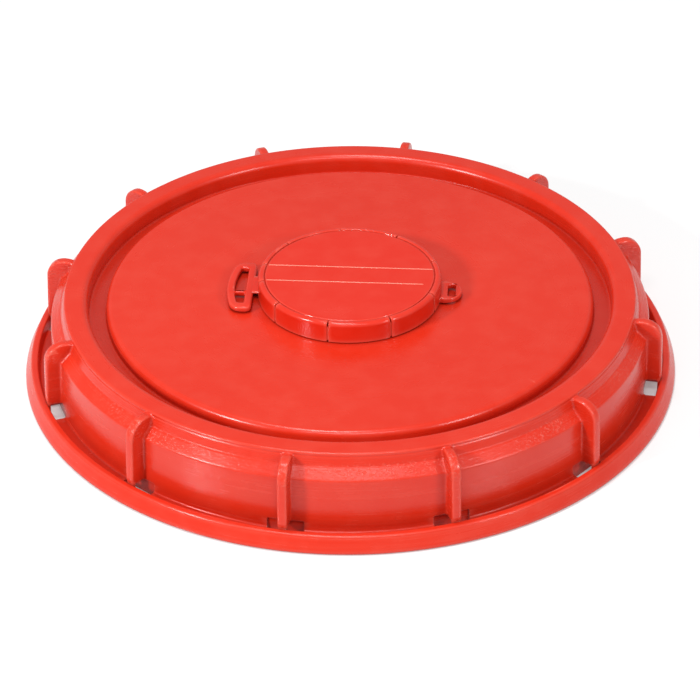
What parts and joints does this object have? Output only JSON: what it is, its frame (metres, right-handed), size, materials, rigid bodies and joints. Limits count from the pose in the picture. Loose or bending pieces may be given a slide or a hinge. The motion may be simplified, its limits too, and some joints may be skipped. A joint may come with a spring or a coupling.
{
  "type": "screw lid with vent plug",
  "caption": "Round moulded screw lid for a bulk liquid container's filling neck, with grip ribs, a sealing ring and a central vent plug under a clip-on overcap with a pull tab.",
  "frame": {"origin": "on the lid's axis, in the plane of the brim's underside", "axes": "+Z along the lid's axis, up and out of the container; the overcap's pull tab points roughly along -X and its seal eye roughly along +X"},
  "size_m": [0.28, 0.28, 0.0433],
  "materials": {
    "lid_plastic": "satin moulded high-density polyethylene",
    "cap_plastic": "satin moulded polypropylene",
    "seal_rubber": "matt",
    "natural_plastic": "natural, slightly translucent look",
    "grey_plastic": "fine matt",
    "membrane": "matt expanded film",
    "stainless": "bright drawn"
  },
  "bodies": {
    "lid": {"lid_body": "lid_plastic", "neck_thread": "lid_plastic", "neck_gasket": "seal_rubber"},
    "plug_washer": {"plug_gasket": "seal_rubber"},
    "vent_plug": {"plug_body": "cap_plastic", "plug_thread": "cap_plastic", "seat_ring": "stainless", "valve_bridge": "natural_plastic", "bridge_screws": "stainless", "pressure_spring": "stainless", "breather_membrane": "membrane", "splash_baffle": "natural_plastic"},
    "pressure_valve": {"pressure_poppet": "grey_plastic", "poppet_seal": "seal_rubber", "vacuum_spring": "stainless"},
    "vacuum_valve": {"vacuum_poppet": "grey_plastic", "vacuum_seal": "seal_rubber", "stem_clip": "stainless"},
    "overcap": {"overcap": "cap_plastic"},
    "pull_tab": {"pull_tab": "cap_plastic"}
  },
  "joints": [
    {"name": "plug_rise", "type": "slide", "parent": "lid", "child": "plug_washer", "axis": [0, 0, 1], "range_m": [0, 0.0117]},
    {"name": "plug_turn", "type": "hinge", "parent": "plug_washer", "child": "vent_plug", "pos_m": [0, 0, 0.03], "axis": [0, 0, 1], "range_deg": [0, 1800]},
    {"name": "overcap_lift", "type": "slide", "parent": "vent_plug", "child": "overcap", "axis": [0, 0, 1], "range_m": [0, 0.02]},
    {"name": "tab_flex", "type": "hinge", "parent": "overcap", "child": "pull_tab", "pos_m": [-0.0407, 0.00285, 0.0369], "axis": [0.0698, 0.9976, 0], "range_deg": [0, 80], "stiffness_Nm_per_rad": 0.02},
    {"name": "pressure_lift", "type": "slide", "parent": "vent_plug", "child": "pressure_valve", "axis": [0, 0, 1], "range_m": [0, 0.0025], "stiffness_N_per_m": 600, "springref_m": -0.002, "deforming": ["pressure_spring"]},
    {"name": "vacuum_drop", "type": "slide", "parent": "pressure_valve", "child": "vacuum_valve", "axis": [0, 0, -1], "range_m": [0, 0.0015], "stiffness_N_per_m": 200, "springref_m": -0.001, "deforming": ["vacuum_spring"]}
  ],
  "couplings": [
    {"joint": "plug_rise", "follows": "plug_turn", "m_per_rad": 0.00036749}
  ]
}
